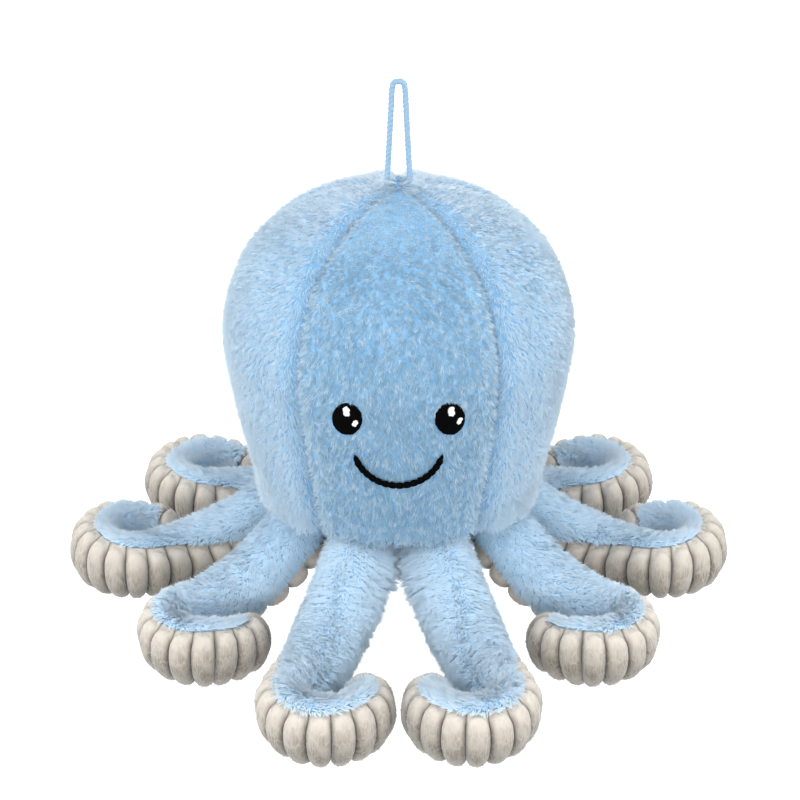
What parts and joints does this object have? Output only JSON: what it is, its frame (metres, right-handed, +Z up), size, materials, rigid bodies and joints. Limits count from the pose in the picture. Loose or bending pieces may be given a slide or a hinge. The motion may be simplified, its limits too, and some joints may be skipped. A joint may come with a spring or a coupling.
{
  "type": "plush octopus",
  "caption": "Stuffed plush octopus with a tall domed head, a stitched smiling face and curled ribbed arms, hung by a cord loop at its crown",
  "frame": {"origin": "Inside the top of the hanging loop, where the cord bears on what holds the toy up", "axes": "+Z up, the way that the loop pulls; the face looks along -Y; +X is to the right of someone facing the toy"},
  "size_m": [0.339, 0.2925, 0.2733],
  "materials": {
    "blue_plush": "light blue plush with a 4 to 6 mm pile",
    "cream_ribbed_plush": "cream short-pile plush in raised ribs",
    "fibre_filling": "loose white polyester fibre",
    "black_thread": "black satin-stitch embroidery thread",
    "white_thread": "white embroidery thread",
    "blue_cord": "twisted blue cord, 3 mm thick"
  },
  "bodies": {
    "head": {"head_gore_front": "blue_plush", "head_gore_right": "blue_plush", "head_gore_rear_right": "blue_plush", "head_gore_rear_left": "blue_plush", "head_gore_left": "blue_plush", "base_panel": "blue_plush", "head_filling": "fibre_filling", "eye_left": "black_thread", "eye_glint_upper_left": "white_thread", "eye_glint_lower_left": "white_thread", "eye_right": "black_thread", "eye_glint_upper_right": "white_thread", "eye_glint_lower_right": "white_thread", "smile": "black_thread", "hanging_loop": "blue_cord"},
    "arm_front_left": {"arm_front_left_top": "blue_plush", "arm_front_left_underside": "cream_ribbed_plush"},
    "arm_front_right": {"arm_front_right_top": "blue_plush", "arm_front_right_underside": "cream_ribbed_plush"},
    "arm_front_side_left": {"arm_front_side_left_top": "blue_plush", "arm_front_side_left_underside": "cream_ribbed_plush"},
    "arm_front_side_right": {"arm_front_side_right_top": "blue_plush", "arm_front_side_right_underside": "cream_ribbed_plush"},
    "arm_rear_side_left": {"arm_rear_side_left_top": "blue_plush", "arm_rear_side_left_underside": "cream_ribbed_plush"},
    "arm_rear_side_right": {"arm_rear_side_right_top": "blue_plush", "arm_rear_side_right_underside": "cream_ribbed_plush"},
    "arm_rear_left": {"arm_rear_left_top": "blue_plush", "arm_rear_left_underside": "cream_ribbed_plush"},
    "arm_rear_right": {"arm_rear_right_top": "blue_plush", "arm_rear_right_underside": "cream_ribbed_plush"}
  },
  "joints": [
    {"name": "arm_front_left_lift", "type": "hinge", "parent": "head", "child": "arm_front_left", "pos_m": [-0.01935, -0.05041, -0.2256], "axis": [-1, 0, 0], "range_deg": [-8, 20], "stiffness_Nm_per_rad": 0.12, "springref_deg": 2.17},
    {"name": "arm_front_right_lift", "type": "hinge", "parent": "head", "child": "arm_front_right", "pos_m": [0.01935, -0.05041, -0.2256], "axis": [-1, 0, 0], "range_deg": [-8, 20], "stiffness_Nm_per_rad": 0.12, "springref_deg": 2.17},
    {"name": "arm_front_side_left_lift", "type": "hinge", "parent": "head", "child": "arm_front_side_left", "pos_m": [-0.04952, -0.02153, -0.2256], "axis": [-0.5736, 0.8192, 0], "range_deg": [-8, 20], "stiffness_Nm_per_rad": 0.12, "springref_deg": 1.53},
    {"name": "arm_front_side_right_lift", "type": "hinge", "parent": "head", "child": "arm_front_side_right", "pos_m": [0.04952, -0.02153, -0.2256], "axis": [-0.5736, -0.8192, 0], "range_deg": [-8, 20], "stiffness_Nm_per_rad": 0.12, "springref_deg": 1.53},
    {"name": "arm_rear_side_left_lift", "type": "hinge", "parent": "head", "child": "arm_rear_side_left", "pos_m": [-0.05007, 0.02023, -0.2256], "axis": [0.0872, 0.9962, 0], "range_deg": [-8, 20], "stiffness_Nm_per_rad": 0.12, "springref_deg": 2.19},
    {"name": "arm_rear_side_right_lift", "type": "hinge", "parent": "head", "child": "arm_rear_side_right", "pos_m": [0.05007, 0.02023, -0.2256], "axis": [0.0872, -0.9962, 0], "range_deg": [-8, 20], "stiffness_Nm_per_rad": 0.12, "springref_deg": 2.19},
    {"name": "arm_rear_left_lift", "type": "hinge", "parent": "head", "child": "arm_rear_left", "pos_m": [-0.02066, 0.04989, -0.2256], "axis": [0.6018, 0.7986, 0], "range_deg": [-8, 20], "stiffness_Nm_per_rad": 0.12, "springref_deg": 2.36},
    {"name": "arm_rear_right_lift", "type": "hinge", "parent": "head", "child": "arm_rear_right", "pos_m": [0.02066, 0.04989, -0.2256], "axis": [0.6018, -0.7986, 0], "range_deg": [-8, 20], "stiffness_Nm_per_rad": 0.12, "springref_deg": 2.36}
  ]
}
